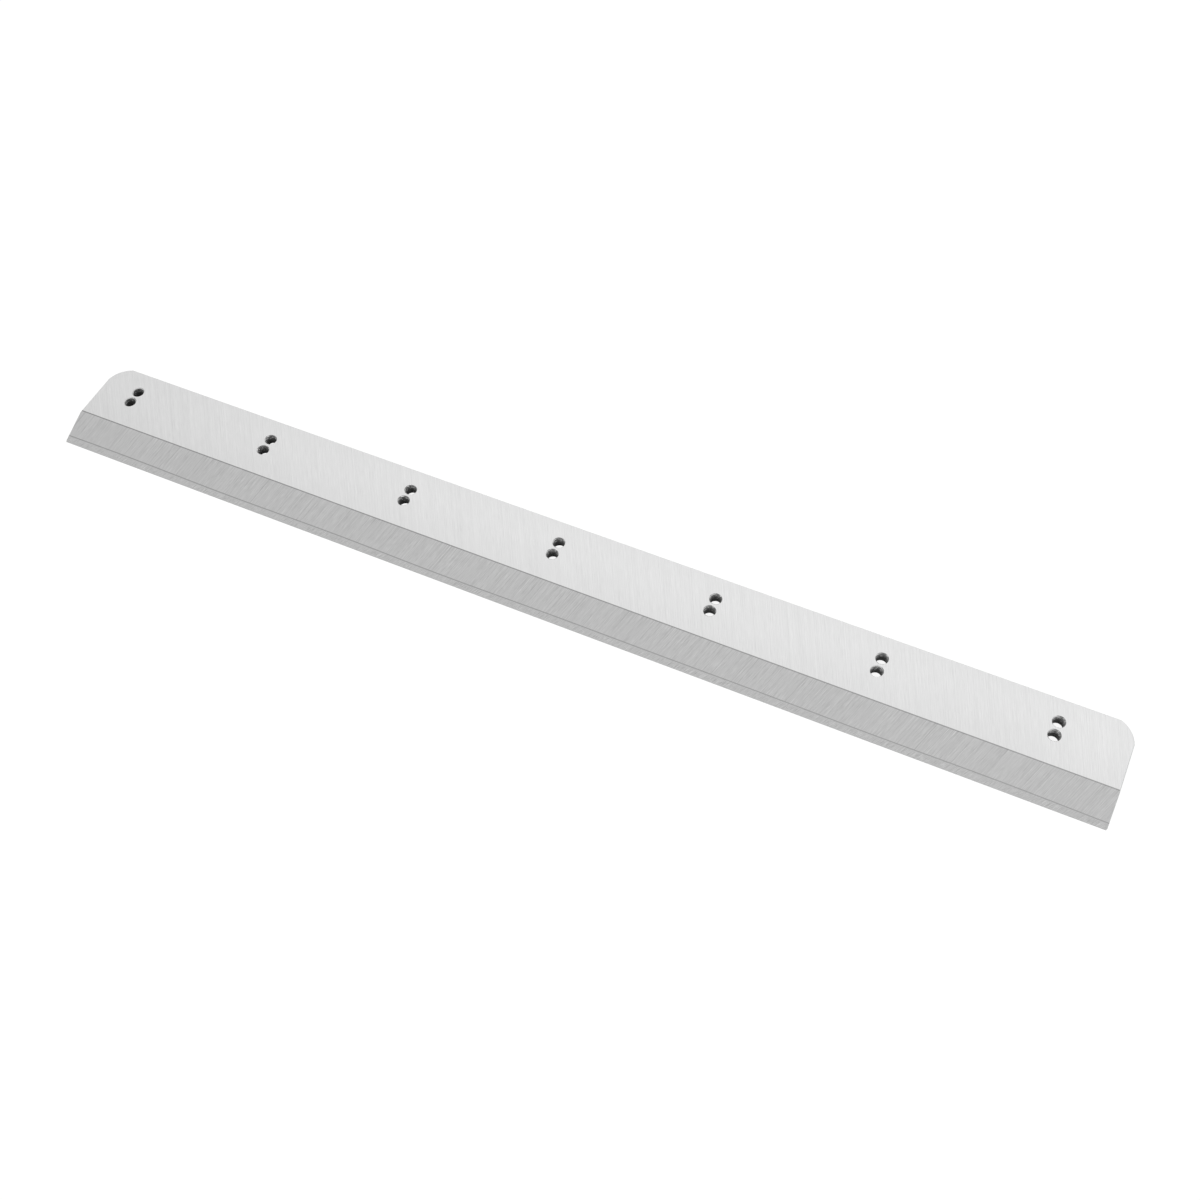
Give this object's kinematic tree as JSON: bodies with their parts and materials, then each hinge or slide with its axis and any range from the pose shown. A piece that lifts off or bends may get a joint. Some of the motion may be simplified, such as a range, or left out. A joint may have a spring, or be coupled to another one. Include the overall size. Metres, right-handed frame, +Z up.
{
  "type": "paper cutter blade",
  "caption": "Straight guillotine blade for a paper cutter: ground steel bar with one long bevel, a brazed-in high-speed steel cutting edge, arced back corners and paired tapped screw holes.",
  "frame": {"origin": "centre of the blade's outline, on the plane of its flat side", "axes": "+X along the blade, +Y across it from the cutting edge to the back, +Z up out of the flat side, so the bevel faces up and towards -Y"},
  "size_m": [0.665, 0.0632, 0.008],
  "materials": {
    "carrier_steel": "surface ground, with fine straight grinding marks across the bevel and long curved ones on the face",
    "high_speed_steel": "surface ground and honed, with finer slanting marks"
  },
  "bodies": {
    "root": {"carrier_bar": "carrier_steel", "cutting_inlay": "high_speed_steel"}
  },
  "joints": []
}
